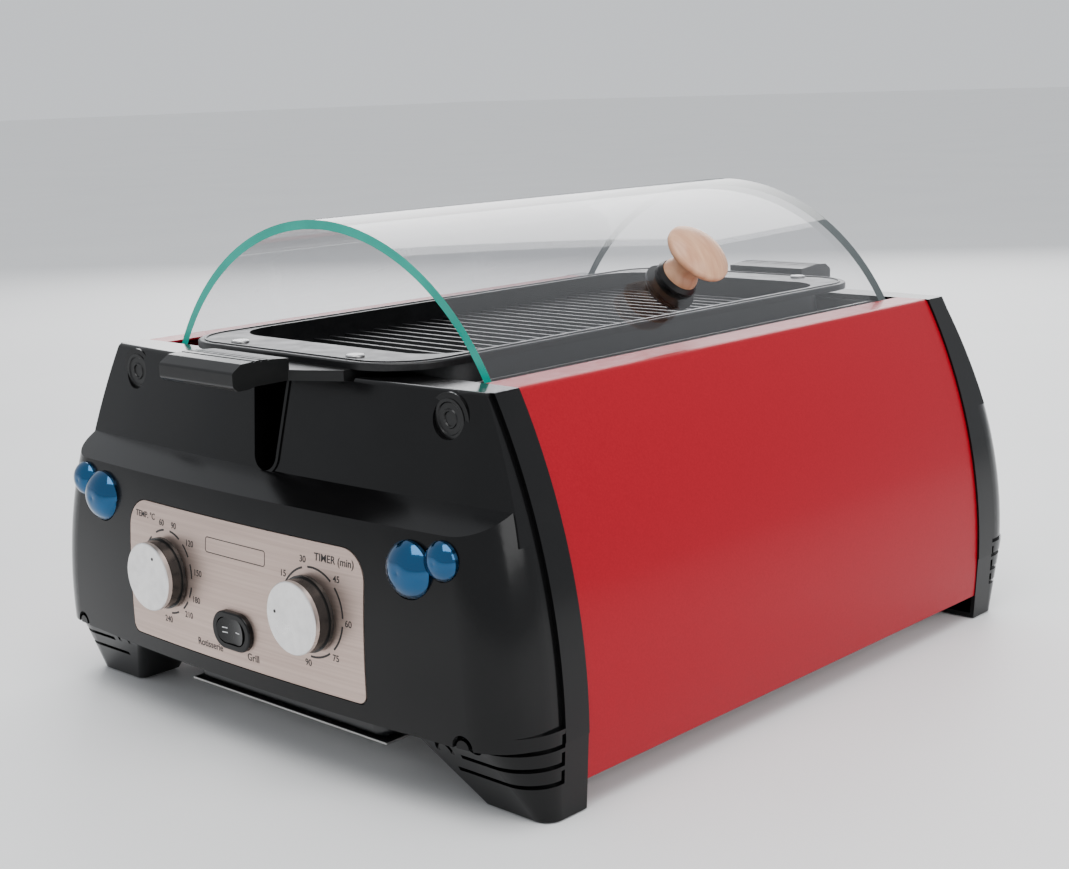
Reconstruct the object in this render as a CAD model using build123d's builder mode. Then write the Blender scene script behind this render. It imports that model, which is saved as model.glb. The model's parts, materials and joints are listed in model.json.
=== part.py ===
from build123d import *

import math
import os

# Rotisserie oven, millimetres. +Z is up, +Y runs from the control panel to the back,
# +X is to the right of someone facing the controls. The origin is on the surface the
# oven stands on, under the middle of the body.

os.makedirs("parts", exist_ok=True)

# ---------------------------------------------------------------- driving dimensions

# Body: two bowed side panels between two moulded end caps
body_length = 380.0  # side panels, from the front seam to the rear seam
panel_top_z = 206.0
panel_bottom_z = 16.0
panel_top_half = 153.0  # half width of the body at the panels' top
panel_middle_half = 186.5  # halfway up
panel_bottom_half = 191.0
panel_sheet = 1.0
panel_top_flange = 21.0  # width of the fold that borders the opening
panel_bottom_flange = 15.0
panel_edge_radius = 4.0

# End caps
cap_wall = 3.0
cap_rim_proud = 1.5  # how far the cap's rim stands out from the panels
cap_rim_length = 17.0
cap_upper_inset = 0.8
crown_radius = 1800.0  # the caps' faces are slightly rounded across the width
upper_face_top_depth = 26.5  # from the seam to the upper face, at the top
upper_face_bottom_depth = 35.5
ledge_top_z = 152.5
ledge_bottom_z = 142.5
lower_face_top_depth = 55.5
lower_face_middle_depth = 60.7
lower_face_bottom_depth = 61.0
cap_bottom_z = 40.5
cap_corner_radius = 30.0
cap_edge_radius = 4.0
upper_corner_radius = 2.5

# Feet moulded on the caps
foot_ground_clearance = 0.8
foot_top_z = 48.0
foot_proud = 0.8
foot_inner_top = 106.0
foot_inner_bottom = 146.0
foot_ground_depth = 27.0  # from the seam to the foot's front at the ground
foot_ground_corner = 9.0
groove_depth = 1.8
groove_width = 2.4
groove_pitch = 9.3
ring_radius = 5.0
pad_radius = 7.0
pad_thickness = 3.0
pad_x = 168.0
pad_depth = 12.0  # from the seam to the pad's centre
pad_clearance = 0.1

# Spit slot in the front cap and the bulkhead
spit_axis_z = 161.0
slot_top_half = 14.5
slot_bottom_radius = 9.0
slot_wall = 2.0
slot_bead = 0.8

# Control panel
plate_half_width = 99.0
plate_bottom_z = 50.0
plate_top_z = 127.5
plate_thickness = 1.0
plate_top_corner = 16.0
plate_bottom_corner = 5.0
plate_gap = 0.7
plate_proud = 0.2
knob_spacing = 123.0
knob_z = 91.0
knob_radius = 19.0
knob_length = 11.5
knob_collar_radius = 20.0
knob_collar_length = 2.0
knob_standoff = 0.6
knob_wall = 2.0
knob_face_thickness = 3.0
knob_face_edge = 0.5
control_shaft_radius = 3.0
bush_radius = 5.0
shaft_clearance = 0.05
control_body_size = 40.0
control_body_depth = 20.0
switch_x = -1.0
switch_z = 69.5
switch_length = 32.0
switch_height = 21.0
switch_proud = 3.0
switch_flange = 1.6
paddle_length = 24.0
paddle_height = 14.0
paddle_rise = 0.8  # crests of the rocker in front of the bezel
paddle_dish = 1.8
switch_depth = 18.0
pivot_setback = 4.0
pivot_radius = 1.5
pivot_reach = 1.2
large_lens_x = 129.0
large_lens_z = 123.5
large_lens_radius = 14.5
large_lens_rise = 8.0
small_lens_x = 149.5
small_lens_z = 130.5
small_lens_radius = 10.0
small_lens_rise = 6.0
lens_tube_radius = 6.0
lens_sink = 1.2
lens_gap = 0.1
lens_tube_length = 6.0
lens_trim = 0.2
plug_x = 130.0
plug_z = 192.0
plug_radius = 10.0
plug_thickness = 2.0
plug_clearance = 0.1
plug_sink = 0.6
screw_radius = 2.0
screw_head_radius = 3.8
screw_clearance = 0.2
screw_head_depth = 16.0  # from the seam to the hidden screws' heads
screw_head_height = 2.6

# Glass lid that rolls about its own axis
lid_axis_z = 134.5
lid_outer_radius = 146.5
glass_thickness = 5.0
glass_half_length = 182.0
lid_low_angle = 22.0  # the closed glass spans from here to its mirror image
lid_travel = 65.0
track_clearance = 0.5
track_lip = 3.0
track_depth = 6.0
track_floor = 2.0
lid_knob_angle = 44.0
lid_knob_y = -6.0
lid_knob_radius = 20.0
lid_knob_height = 31.0
lid_stem_radius = 9.0
lid_screw_radius = 2.5
lid_screw_length = 12.0
ferrule_radius = 13.0
ferrule_height = 4.0
nut_radius = 16.0
nut_height = 5.0
nut_seat = 0.5
track_play = 0.3  # degrees between the lid's edge and a stop
track_tail = 22.0

# Cooking chamber
bulkhead_setback = 3.0  # from the seam to the bulkhead's outer face
sheet_steel = 1.0
liner_half_width = 114.0
liner_top_z = 203.0
liner_bottom_z = 48.0
liner_corner_radius = 60.0
drip_opening_half = 55.0
drip_opening_length = 300.0
base_pan_z = 17.0
tube_radius = 3.2
tube_clearance = 0.08
upper_element_half = 86.0
upper_element_z = 183.0
lower_element_half = 72.0
lower_element_z = 66.0
element_bend = 28.0
clip_pitch = 180.0
clip_width = 8.0
clip_wall = 1.5
clip_reach = 40.0
element_end_gap = 20.0  # from the rear bulkhead to the element's far bend

# Drip tray
tray_half_width = 80.0
tray_height = 19.0
tray_wall = 1.2
tray_corner_radius = 8.0
tray_bottom_radius = 4.0
tray_front_reach = 32.0  # in front of the seam
tray_rear_gap = 30.0
tray_clearance = 0.4
tongue_lip = 3.0
base_screw_x = 181.0
base_screw_pitch = 150.0

# Grill plate and its two handles
grill_half_width = 95.0
grill_half_length = 212.0
grill_rim_z = 213.5
grill_rim_thickness = 4.0
grill_rim_width = 9.0
grill_end_width = 34.0
grill_corner_radius = 36.0
grill_depth = 14.0
grill_floor = 3.0
grill_wall_slope = 9.0
grill_bead = 1.2
rib_pitch = 12.0
rib_width = 3.6
rib_height = 3.5
handle_reach = 266.0  # from the middle of the oven to the end of a handle
handle_length = 36.0
handle_half_width = 31.0
handle_top_z = 217.0
handle_height = 14.0
neck_half_width = 58.0
notch_half_width = 64.0
notch_depth = 2.0
rivet_spacing = 96.0
rivet_radius = 3.0
rivet_head_radius = 5.0
rivet_head_height = 1.4
rivet_reach = 200.0
rivet_clearance = 0.05
grill_edge_radius = 1.2
grill_bead_inset = 3.5
rib_end_gap = 2.0
rib_draft = 12.0
neck_taper = 13.0
handle_edge_radius = 1.8
grip_grooves = 5
grip_pitch = 4.5
grip_groove_radius = 0.9

# Spit drive in the rear cap
gear_module = 1.25
drive_teeth = 56
pinion_teeth = 16
gear_width = 6.0
gear_backlash = 0.6
socket_radius = 8.0
socket_square = 8.2
bearing_radius = 9.0
motor_radius = 24.0
motor_length = 26.0
motor_shaft_radius = 2.0
gland_x = -120.0
gland_z = 70.0
gland_radius = 8.0
gland_bore = 4.0
gland_flange = 2.5
terminal_x = 60.0
terminal_z = 60.0
terminal_length = 36.0
terminal_depth = 14.0
terminal_height = 20.0
gear_gap = 5.0  # from the rear bulkhead to the gears
socket_reach = 16.0
bearing_flange = 2.5
bracket_depth = 18.0
bracket_half_span = 40.0
bracket_half_height = 28.0
bracket_foot = 10.0
motor_boss_radius = 7.0
vent_pitch = 8.0
vent_count = 5
vent_length = 60.0
vent_width = 3.0

# ------------------------------------------------------------------ derived dimensions

front_seam = -body_length / 2
rear_seam = body_length / 2
front_bulkhead = front_seam + bulkhead_setback
lid_inner_radius = lid_outer_radius - glass_thickness
plate_centre_z = (plate_bottom_z + plate_top_z) / 2
crown_axis_y = front_seam - lower_face_middle_depth + crown_radius
motor_axis_z = spit_axis_z - gear_module * (drive_teeth + pinion_teeth) / 2


def circle_through(a, b, c):
    """Centre and radius of the circle through three points of a plane."""
    d = 2 * (a[0] * (b[1] - c[1]) + b[0] * (c[1] - a[1]) + c[0] * (a[1] - b[1]))
    squares = [p[0] ** 2 + p[1] ** 2 for p in (a, b, c)]
    x = (squares[0] * (b[1] - c[1]) + squares[1] * (c[1] - a[1]) + squares[2] * (a[1] - b[1])) / d
    y = (squares[0] * (c[0] - b[0]) + squares[1] * (a[0] - c[0]) + squares[2] * (b[0] - a[0])) / d
    return x, y, math.hypot(a[0] - x, a[1] - y)


bow_x, bow_z, bow_radius = circle_through(
    (panel_bottom_half, panel_bottom_z),
    (panel_middle_half, (panel_bottom_z + panel_top_z) / 2),
    (panel_top_half, panel_top_z),
)


def half_width(z, inset=0.0):
    """Half width of the bowed body at height z, moved inwards by inset."""
    return bow_x + math.sqrt((bow_radius - inset) ** 2 - (z - bow_z) ** 2)


def face_y(z, x=0.0):
    """Y of the front cap's lower face at a height and a distance from the middle."""
    top, bottom = ledge_bottom_z, cap_bottom_z
    y, zc, r = circle_through(
        (front_seam - lower_face_top_depth, top),
        (front_seam - lower_face_middle_depth, (top + bottom) / 2),
        (front_seam - lower_face_bottom_depth, bottom),
    )
    return y - math.sqrt(r ** 2 - (z - zc) ** 2) + x ** 2 / (2 * crown_radius)


def upper_face_y(z, x=0.0):
    """Y of the front cap's upper face at a height and a distance from the middle."""
    share = (z - ledge_top_z) / (panel_top_z - ledge_top_z)
    depth = upper_face_bottom_depth + share * (upper_face_top_depth - upper_face_bottom_depth)
    return front_seam - depth + x ** 2 / (2 * crown_radius)


def front_plane(y):
    """Plane across the oven at y: local x is X, local y is Z, normal to the front."""
    return Plane.XZ.offset(-y)


def body_section(plane, inset, low, high):
    """Cross-section of the body between two heights, moved inwards by inset."""
    middle = (low + high) / 2
    with BuildSketch(plane) as section:
        with BuildLine():
            bow = ThreePointArc(
                (half_width(low, inset), low),
                (half_width(middle, inset), middle),
                (half_width(high, inset), high),
            )
            Line(bow @ 1, (0, high))
            Line((0, low), bow @ 0)
            mirror(about=Plane.YZ)
        make_face()
    return section.sketch


def crown_plane(turn):
    """Radial plane of the crown axis, turned from the middle of the oven."""
    outward = Vector(math.sin(math.radians(turn)), -math.cos(math.radians(turn)), 0)
    return Plane(origin=(0, crown_axis_y, 0), x_dir=outward, z_dir=outward.cross(Vector(0, 0, 1)))


crown_axis = Axis((0, crown_axis_y, 0), (0, 0, 1))
crown_turn = math.degrees(math.asin(1.2 * panel_bottom_half / crown_radius))


def radial(y, z):
    """Point of a crown plane at a given Y in the middle of the oven."""
    return crown_axis_y - y, z


def crowned(points_of_profile, arcs=None):
    """Solid swept round the crown axis from a closed profile of (y, z) points."""
    with BuildPart() as turned:
        with BuildSketch(crown_plane(-crown_turn)):
            with BuildLine():
                Polyline([radial(*p) for p in points_of_profile], close=arcs is None)
                if arcs:
                    ThreePointArc(*[radial(*p) for p in arcs])
            make_face()
        revolve(axis=crown_axis, revolution_arc=2 * crown_turn)
    return turned.part


def lower_cap_volume(inset):
    """Bulging lower part of the front cap, its skin moved inwards by inset."""
    low, high = cap_bottom_z + inset, ledge_bottom_z - inset
    back = front_seam + 1.0 if inset else front_seam
    ledge_run = lower_face_top_depth - upper_face_bottom_depth
    ledge_rise = ledge_top_z - ledge_bottom_z
    shoulder = (front_seam - upper_face_bottom_depth + ledge_run / 2, high + ledge_rise * 1.5)
    front = [(face_y(z) + inset, z) for z in (low, (low + high) / 2, high)]
    block = crowned([front[2], shoulder, (back, shoulder[1]), (back, low), front[0]], front)
    with BuildPart() as volume:
        add(block)
        across = front_plane(back)
        side = cap_upper_inset + inset
        section = body_section(across, side, low, shoulder[1])
        extrude(section, amount=lower_face_middle_depth + 5.0 + back - front_seam, mode=Mode.INTERSECT)
        corners = volume.edges().filter_by(lambda e: abs(e.center().X) > panel_top_half)
        corners = corners.filter_by(lambda e: e.length > 0.8 * (high - low))
        corners = corners.filter_by(lambda e: e.center().Y < front_seam - cap_rim_length)
        fillet(corners, radius=cap_corner_radius - inset)
    return volume.part


def upper_cap_volume(inset):
    """Upper part of the front cap, its skin moved inwards by inset."""
    low, high = ledge_bottom_z - 6.0, panel_top_z - inset
    back = front_seam + 1.0 if inset else front_seam
    block = crowned([
        (back, low),
        (upper_face_y(low) + inset, low),
        (upper_face_y(high) + inset, high),
        (back, high),
    ])
    with BuildPart() as volume:
        add(block)
        section = body_section(front_plane(back), cap_upper_inset + inset, low, high)
        extrude(section, amount=upper_face_bottom_depth + 5.0 + back - front_seam, mode=Mode.INTERSECT)
        if not inset:
            corners = volume.edges().filter_by(lambda e: e.center().Y < front_seam - cap_rim_length)
            fillet(corners.group_by(Axis.Z)[-1], radius=upper_corner_radius)
    return volume.part


# ------------------------------------------------------------------- shared end cap


def foot_section(z, inset, inner, front, corner):
    """Plan of the right foot at one height, its skin moved inwards by inset."""
    back = front_seam + (1.0 if inset else 0.0)
    outer = half_width(z, inset - cap_rim_proud)
    with BuildSketch(Plane.XY.offset(z)) as plan:
        with BuildLine():
            Polyline((inner, back), (inner, front), (outer, front), (outer, back), close=True)
        make_face()
        front_corners = plan.vertices().group_by(Axis.Y)[0].sort_by(Axis.X)
        fillet(front_corners[1], radius=corner)
        fillet(plan.vertices().group_by(Axis.Y)[0].sort_by(Axis.X)[0], radius=cap_edge_radius)
    return plan.sketch


def foot_volume(inset):
    """Right foot of the front cap, its skin moved inwards by inset."""
    low = foot_ground_clearance + inset
    top_front = face_y(cap_bottom_z, half_width(cap_bottom_z)) - foot_proud + inset
    low_front = front_seam - foot_ground_depth + inset
    top = foot_section(foot_top_z, inset, foot_inner_top + inset, top_front, cap_corner_radius)
    bottom = foot_section(low, inset, foot_inner_bottom + inset, low_front, foot_ground_corner)
    with BuildPart() as foot:
        loft([bottom.face(), top.face()], ruled=True)
    return foot.part


def foot_relief():
    """Grooves round the right foot's corner and rings at their inner ends."""
    rim_front = front_seam - cap_rim_length
    middle_z = cap_bottom_z - 1.0 - groove_pitch
    with BuildPart() as cutters:
        for step in range(3):
            z = cap_bottom_z - 1.0 - step * groove_pitch
            start = foot_inner_bottom + 9.0 - 7.0 * step
            length = half_width(z) + 10.0 - start
            with Locations((start + length / 2, rim_front - 40.0, z)):
                Box(length, 80.0, groove_width)
            with Locations((half_width(z), rim_front - groove_width / 2, z + groove_width)):
                Box(20.0, groove_width, 3 * groove_width)
        with BuildSketch(front_plane(rim_front - 25.0)):
            for step in range(2):
                ring_x = foot_inner_bottom + 15.0 - 24.0 * step
                with Locations((ring_x, middle_z + groove_pitch * (1.2 - 1.1 * step))):
                    Circle(ring_radius + groove_width / 2)
                    Circle(ring_radius - groove_width / 2, mode=Mode.SUBTRACT)
            with Locations((foot_inner_bottom - 11.0, cap_bottom_z - 1.0)):
                Rectangle(22.0, groove_width)
        extrude(amount=40.0)
        add(foot_volume(groove_depth), mode=Mode.SUBTRACT)
    return cutters.part


def cap_shell():
    """Front end cap before its openings: outer skin, inner space, feet and relief."""
    foot = foot_volume(0.0)
    foot_inside = foot_volume(cap_wall)
    relief = foot_relief()
    upper_outer, upper_inside = upper_cap_volume(0.0), upper_cap_volume(cap_wall)
    rim = body_section(front_plane(front_seam), -cap_rim_proud, cap_bottom_z, panel_top_z)
    with BuildPart() as shell:
        add(lower_outer)
        add(upper_outer)
        extrude(rim, amount=cap_rim_length)
        for right in (foot, relief):
            for piece in (right, mirror(right, about=Plane.YZ)):
                add(piece, mode=Mode.ADD if right is foot else Mode.SUBTRACT)
        for space in (lower_inside, upper_inside, foot_inside, mirror(foot_inside, about=Plane.YZ)):
            add(space, mode=Mode.SUBTRACT)
        bosses = [(side * plug_x, plug_z) for side in (-1, 1)]
        with BuildSketch(front_plane(front_bulkhead)):
            with Locations(bosses):
                Circle(plug_radius + plug_clearance + cap_wall)
        extrude(amount=front_bulkhead - upper_face_y(plug_z, plug_x) - 1.0)
        with BuildSketch(front_plane(upper_face_y(plug_z, plug_x) + plug_sink + plug_thickness)):
            with Locations(bosses):
                Circle(plug_radius + plug_clearance)
        extrude(amount=3 * plug_thickness, mode=Mode.SUBTRACT)
        with BuildSketch(front_plane(front_seam - screw_head_depth)):
            with Locations(bosses):
                Circle(screw_head_radius + screw_clearance)
        extrude(amount=3 * cap_wall, mode=Mode.SUBTRACT)
        with BuildSketch(front_plane(front_bulkhead)):
            with Locations(bosses):
                Circle(screw_radius + screw_clearance)
        extrude(amount=upper_face_bottom_depth, mode=Mode.SUBTRACT)
        with BuildSketch(Plane.XY):
            with Locations([(side * pad_x, front_seam - pad_depth) for side in (-1, 1)]):
                Circle(pad_radius + pad_clearance)
        extrude(amount=pad_thickness, mode=Mode.SUBTRACT)
    return shell.part


def box_between(low, high, mode=Mode.ADD):
    """Box given by its lowest and highest corners, added to the open part."""
    centre = [(a + b) / 2 for a, b in zip(low, high)]
    size = [b - a for a, b in zip(low, high)]
    with Locations(Location(centre)):
        Box(*size, mode=mode)


def slot_outline(plane, grow):
    """Spit slot, open at the top, widened by grow."""
    radius = slot_bottom_radius + grow
    top = panel_top_z + 1.0
    with BuildSketch(plane) as outline:
        with BuildLine():
            ThreePointArc((-radius, spit_axis_z), (0, spit_axis_z - radius), (radius, spit_axis_z))
            Polyline(
                (radius, spit_axis_z),
                (slot_top_half + grow, top),
                (-slot_top_half - grow, top),
                (-radius, spit_axis_z),
            )
        make_face()
    return outline.sketch


def plate_outline(grow):
    """Control plate's outline on the front, widened by grow; for use inside a sketch."""
    with Locations((0, plate_centre_z)):
        Rectangle(2 * (plate_half_width + grow), plate_top_z - plate_bottom_z + 2 * grow)


def cut_round(y, depth, places, radius):
    """Round holes of one depth, cut backwards from y into the open part."""
    with BuildSketch(front_plane(y)) as holes:
        with Locations(places):
            Circle(radius)
    extrude(holes.sketch, amount=-depth, mode=Mode.SUBTRACT)


def screw_rows(radius, start_z, length, mode=Mode.ADD):
    """Upright cylinders along both side edges of the base, in the open part."""
    with BuildSketch(Plane.XY.offset(start_z)) as rows:
        with GridLocations(2 * base_screw_x, base_screw_pitch, 2, 3):
            Circle(radius)
    extrude(rows.sketch, amount=length, mode=mode)


def mirrored(solid):
    """The same solid on the other side of the oven's middle plane."""
    return mirror(solid, about=Plane.YZ)


def rear(solid):
    """The same solid at the other end of the oven."""
    return mirror(solid, about=Plane.XZ)


def save(piece, name):
    """Label a finished piece and write it under its node's name."""
    piece.label = name
    export_step(piece, f"parts/{name}.step")


notch_low = (-notch_half_width, front_seam - 2 * cap_rim_length, panel_top_z - notch_depth)
notch_high = (notch_half_width, front_seam + 1.0, panel_top_z + 3.0)
lower_outer = lower_cap_volume(0.0)
lower_inside = lower_cap_volume(cap_wall)
shell = cap_shell()

# -------------------------------------------------------------------------- front cap

plate_recess_floor = lower_cap_volume(plate_thickness)
plate_skin = lower_cap_volume(-plate_proud)
slot_rim_skin = upper_cap_volume(-slot_bead)
lens_places = [
    (large_lens_x, large_lens_z, large_lens_radius),
    (small_lens_x, small_lens_z, small_lens_radius),
]

with BuildPart() as slot_tunnel:
    extrude(slot_outline(front_plane(front_seam), slot_wall), amount=upper_face_bottom_depth + 5.0)
    add(slot_rim_skin, mode=Mode.INTERSECT)
    split(bisect_by=front_plane(front_seam), keep=Keep.TOP)

with BuildPart() as plate_pocket:
    with BuildSketch(front_plane(front_seam - cap_rim_length)):
        plate_outline(plate_gap)
    extrude(amount=lower_face_middle_depth)
    vertical = plate_pocket.edges().filter_by(Axis.Y)
    fillet(vertical.group_by(Axis.Z)[-1], radius=plate_top_corner + plate_gap)
    fillet(plate_pocket.edges().filter_by(Axis.Y).group_by(Axis.Z)[0], radius=plate_bottom_corner)
    add(plate_recess_floor, mode=Mode.SUBTRACT)

with BuildPart() as front_cap:
    add(shell)
    add(slot_tunnel.part)
    box_between(notch_low, notch_high, Mode.SUBTRACT)
    spit_slot = slot_outline(front_plane(front_seam + 1.0), 0.0)
    extrude(spit_slot, amount=2 * upper_face_bottom_depth, mode=Mode.SUBTRACT)
    add(plate_pocket.part, mode=Mode.SUBTRACT)
    knob_places = [(side * knob_spacing / 2, knob_z) for side in (-1, 1)]
    panel_front = front_seam - lower_face_middle_depth - 5.0
    cut_round(panel_front, 20.0, knob_places, bush_radius + screw_clearance)
    with BuildSketch(front_plane(panel_front)):
        with Locations((switch_x, switch_z)):
            SlotOverall(switch_length - 2 * switch_flange, switch_height - 2 * switch_flange)
    extrude(amount=-20.0, mode=Mode.SUBTRACT)
    for lens_x, lens_z, lens_radius in lens_places:
        places = [(side * lens_x, lens_z) for side in (-1, 1)]
        cut_round(face_y(lens_z, lens_x) + lens_sink - 20.0, 20.0, places, lens_radius + lens_gap)
        cut_round(panel_front, 25.0, places, lens_tube_radius + lens_gap)
save(front_cap.part, "front_cap")

# --------------------------------------------------------------------------- rear cap

with BuildPart() as rear_cap:
    add(shell)
    box_between(notch_low, notch_high, Mode.SUBTRACT)
    mirror(about=Plane.XZ, mode=Mode.REPLACE)
    with BuildSketch(front_plane(-front_seam)):
        with Locations((gland_x, gland_z)):
            Circle(gland_radius + lens_gap)
    extrude(amount=-lower_face_middle_depth - 5.0, mode=Mode.SUBTRACT)
    with BuildSketch(front_plane(-front_seam)):
        with Locations((0, motor_axis_z)):
            with GridLocations(0, vent_pitch, 1, vent_count):
                SlotOverall(vent_length, vent_width)
    extrude(amount=-lower_face_middle_depth - 5.0, mode=Mode.SUBTRACT)
save(rear_cap.part, "rear_cap")

# ------------------------------------------------------------------------ side panels


def panel_region(inset):
    """Right edge of the body's cross-section beside the opening, its skin moved in by inset."""
    low, high = panel_bottom_z + inset, panel_top_z - inset
    middle = (low + high) / 2
    inner = panel_top_half - panel_top_flange - 30.0 * bool(inset)
    with BuildSketch(front_plane(rear_seam)) as region:
        with BuildLine():
            bow = ThreePointArc(
                (half_width(low, inset), low),
                (half_width(middle, inset), middle),
                (half_width(high, inset), high),
            )
            Polyline(bow @ 1, (inner, high), (inner, low), bow @ 0)
        make_face()
        top_corner = region.vertices().group_by(Axis.Y)[-1].sort_by(Axis.X)[-1]
        fillet(top_corner, radius=panel_edge_radius - inset)
    return region.sketch


with BuildPart() as right_side_panel:
    extrude(panel_region(0.0), amount=body_length)
    extrude(panel_region(panel_sheet), amount=body_length, mode=Mode.SUBTRACT)
    open_bottom = panel_bottom_half - panel_bottom_flange
    open_low = (0, front_seam, panel_bottom_z - 1.0)
    box_between(open_low, (open_bottom, rear_seam, panel_bottom_z + 2.0), Mode.SUBTRACT)
    screw_rows(screw_radius + screw_clearance, panel_bottom_z - 1.0, 4.0, Mode.SUBTRACT)
save(right_side_panel.part, "right_side_panel")
save(mirrored(right_side_panel.part), "left_side_panel")

# -------------------------------------------------------------- base pan and bulkheads

pan_top = base_pan_z + sheet_steel
tray_low = pan_top + tray_clearance
tray_top = tray_low + tray_height
tray_front = front_seam - tray_front_reach

with BuildPart() as base_pan:
    edge = half_width(base_pan_z, panel_sheet + 0.5)
    box_between((-edge, front_bulkhead, base_pan_z), (edge, -front_bulkhead, pan_top))
    tongue = tray_half_width + tongue_lip
    box_between((-tongue, tray_front, base_pan_z), (tongue, front_bulkhead, pan_top))
    lip_low = (-tongue, tray_front - sheet_steel, base_pan_z)
    box_between(lip_low, (tongue, tray_front, pan_top))
    for side in (-1, 1):
        runner = sorted((side * (tongue + 1.0), side * (tongue + 2.0)))
        box_between((runner[0], front_bulkhead, pan_top), (runner[1], -front_bulkhead, pan_top + 8.0))
    screw_rows(screw_radius + 0.02, base_pan_z - 1.0, 4.0, Mode.SUBTRACT)
save(base_pan.part, "base_pan")

with BuildPart() as base_screws:
    screw_rows(screw_head_radius, panel_bottom_z - screw_head_height, screw_head_height)
    screw_rows(screw_radius, panel_bottom_z - screw_head_height, screw_head_height + 5.0)
save(base_screws.part, "base_screws")


def bulkhead_blank():
    """End wall of the cooking chamber at the front, before its openings."""
    section = body_section(front_plane(front_bulkhead + sheet_steel), cap_wall + 1.5, pan_top, liner_top_z)
    with BuildPart() as wall:
        extrude(section, amount=sheet_steel)
        places = [(side * plug_x, plug_z) for side in (-1, 1)]
        cut_round(front_bulkhead - 1.0, 3.0, places, screw_radius + 0.02)
        opening = tray_half_width + tongue_lip + 3.0
        low = (-opening, front_bulkhead - 1.0, pan_top - 1.0)
        high = (opening, front_bulkhead + 3.0, tray_top + 1.5)
        box_between(low, high, Mode.SUBTRACT)
    return wall.part


element_places = [
    (side * half, z)
    for half, z in ((upper_element_half, upper_element_z), (lower_element_half, lower_element_z))
    for side in (-1, 1)
]

with BuildPart() as front_bulkhead_plate:
    add(bulkhead_blank())
    extrude(slot_outline(front_plane(front_bulkhead + 3.0), 0.0), amount=6.0, mode=Mode.SUBTRACT)
    cut_round(front_bulkhead - 1.0, 3.0, element_places, tube_radius + tube_clearance)
save(front_bulkhead_plate.part, "front_bulkhead")

with BuildPart() as rear_bulkhead_plate:
    add(rear(bulkhead_blank()))
    cut_round(-front_bulkhead - 3.0, 5.0, [(0, spit_axis_z)], bearing_radius + 0.02)
save(rear_bulkhead_plate.part, "rear_bulkhead")

# ------------------------------------------------------------------------ chamber liner


def trough(half, low, radius):
    """Solid filling the U-shaped trough to a given half width, bottom and bottom radius."""
    with BuildPart() as solid:
        with BuildSketch(front_plane(-front_bulkhead - sheet_steel)) as section:
            with Locations((0, (low + liner_top_z) / 2)):
                Rectangle(2 * half, liner_top_z - low)
            fillet(section.vertices().group_by(Axis.Y)[0], radius=radius)
        extrude(amount=2 * (-front_bulkhead - sheet_steel))
    return solid.part


trough_inside = trough(
    liner_half_width - sheet_steel,
    liner_bottom_z + sheet_steel,
    liner_corner_radius - sheet_steel,
)

with BuildPart() as chamber_liner:
    add(trough(liner_half_width, liner_bottom_z, liner_corner_radius))
    add(trough_inside, mode=Mode.SUBTRACT)
    with Locations((0, 0, liner_bottom_z)):
        Box(2 * drip_opening_half, drip_opening_length, 4 * sheet_steel, mode=Mode.SUBTRACT)
save(chamber_liner.part, "chamber_liner")

# -------------------------------------------------------------------- heating elements


def heating_tube(half, z):
    """Tubular element: two straight runs through the front bulkhead, joined at the back."""
    start = front_bulkhead - 11.0
    far = -front_bulkhead - element_end_gap
    corners = [(-half, start, z), (-half, far, z), (half, far, z), (half, start, z)]
    with BuildPart() as tube:
        with BuildLine() as path:
            FilletPolyline(corners, radius=element_bend)
        with BuildSketch(Plane(origin=corners[0], z_dir=(0, 1, 0))):
            Circle(tube_radius)
        sweep(path=path.line)
    return tube.part


def element_clips(half, z, outward):
    """Clips that hang an element's straight runs on the liner's wall or floor."""
    with BuildPart() as clips:
        for side in (-1, 1):
            for place in (-clip_pitch / 2, clip_pitch / 2):
                with BuildSketch(front_plane(place + clip_width / 2)):
                    with Locations((side * half, z)):
                        Circle(tube_radius + clip_wall)
                    leg_x = side * (half + outward * clip_reach / 2)
                    leg_z = z - (1 - outward) * clip_reach / 2
                    with Locations((leg_x, leg_z)):
                        Rectangle(*((clip_reach, clip_wall) if outward else (clip_wall, clip_reach)))
                    with Locations((side * half, z)):
                        Circle(tube_radius + tube_clearance, mode=Mode.SUBTRACT)
                extrude(amount=clip_width)
        add(trough_inside, mode=Mode.INTERSECT)
    return clips.part


elements = {
    "upper": (upper_element_half, upper_element_z, 1),
    "lower": (lower_element_half, lower_element_z, 0),
}
for level, (half, z, outward) in elements.items():
    save(heating_tube(half, z), f"{level}_heating_element")
    save(element_clips(half, z, outward), f"{level}_element_clips")

# --------------------------------------------------------------------------- drip tray

with BuildPart() as drip_tray:
    tray_back = -front_bulkhead - tray_rear_gap
    box_between((-tray_half_width, tray_front, tray_low), (tray_half_width, tray_back, tray_top))
    fillet(drip_tray.edges().filter_by(Axis.Z), radius=tray_corner_radius)
    fillet(drip_tray.faces().sort_by(Axis.Z)[0].edges(), radius=tray_bottom_radius)
    offset(amount=-tray_wall, openings=drip_tray.faces().sort_by(Axis.Z)[-1])
save(drip_tray.part, "drip_tray")

# ----------------------------------------------------------------- glass lid and tracks


def ring_sector(plane, inner, outer, start, end):
    """Part of a ring about the lid's axis, between two angles from the right."""
    with BuildSketch(plane) as sector:
        with BuildLine():
            outside = CenterArc((0, lid_axis_z), outer, start, end - start)
            inside = CenterArc((0, lid_axis_z), inner, start, end - start)
            Line(outside @ 0, inside @ 0)
            Line(outside @ 1, inside @ 1)
        make_face()
    return sector.sketch


track_end = -front_bulkhead - sheet_steel
track_inner = lid_inner_radius - track_clearance
track_outer = lid_outer_radius + track_clearance


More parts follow.
